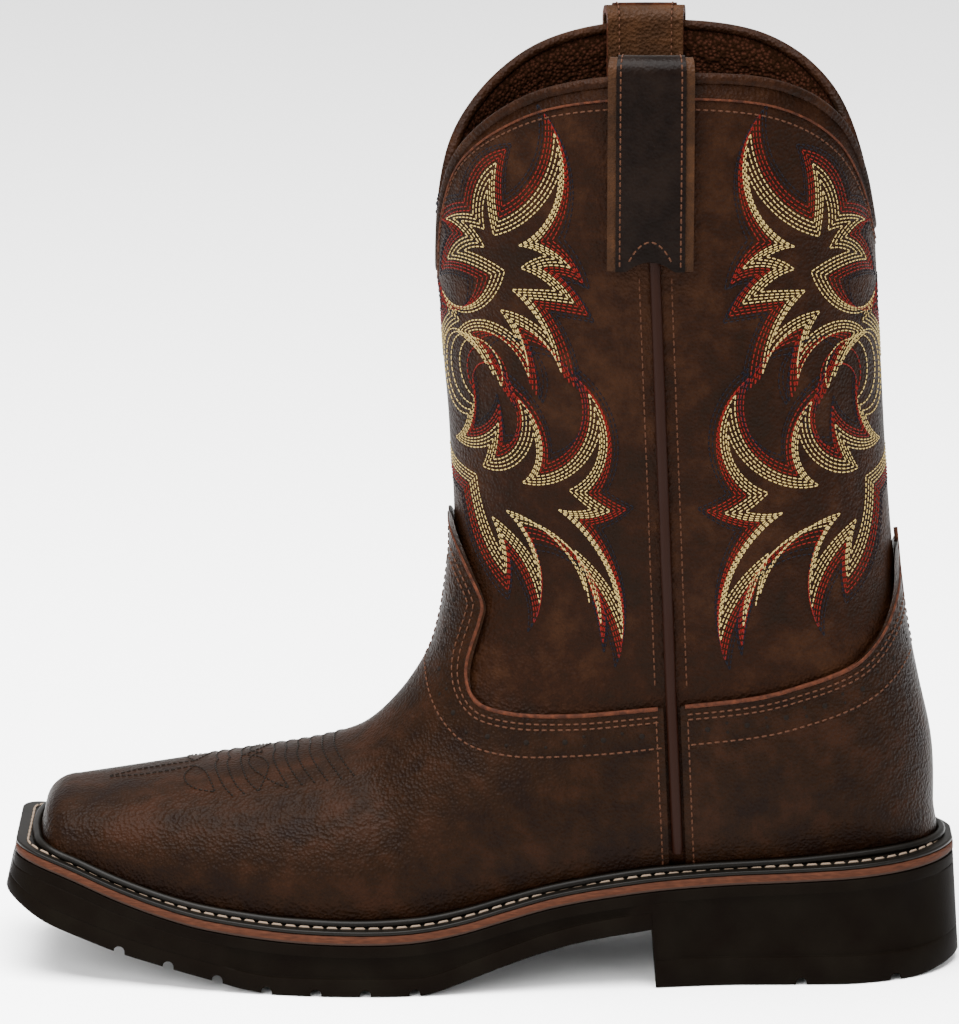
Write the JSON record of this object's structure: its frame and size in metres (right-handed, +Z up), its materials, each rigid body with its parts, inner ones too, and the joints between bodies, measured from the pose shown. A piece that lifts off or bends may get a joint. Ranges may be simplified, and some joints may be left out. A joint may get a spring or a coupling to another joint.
{
  "type": "western work boot",
  "caption": "Pull-on western work boot with a broad square toe, flame-stitched leg, scalloped collar, two pull straps, storm welt and black lug sole.",
  "frame": {"origin": "on the floor under the middle of the heel, on the heel's flat face", "axes": "+X towards the toe, +Y towards the wearer's left, the outer side of this left boot, +Z up"},
  "size_m": [0.3198, 0.1169, 0.3146],
  "materials": {
    "leg_leather": "oiled pull-up leather, mottled dark olive brown",
    "vamp_leather": "oiled leather, dark reddish brown, satin",
    "cord_leather": "dark brown rolled leather, glossy",
    "welt_rubber": "black storm welt, satin, rolled bead glossy",
    "midsole_rubber": "rust brown edge, matte",
    "sole_rubber": "black moulded rubber, satin",
    "lining_cloth": "dark brown knitted lining"
  },
  "bodies": {
    "root": {"outsole": "sole_rubber", "midsole": "midsole_rubber", "welt": "welt_rubber", "insole": "lining_cloth", "upper": "leg_leather", "vamp": "vamp_leather", "counter": "vamp_leather", "piping_outer": "cord_leather", "piping_inner": "cord_leather", "collar_binding": "leg_leather", "strap_outer": "leg_leather", "strap_inner": "leg_leather"}
  },
  "joints": []
}
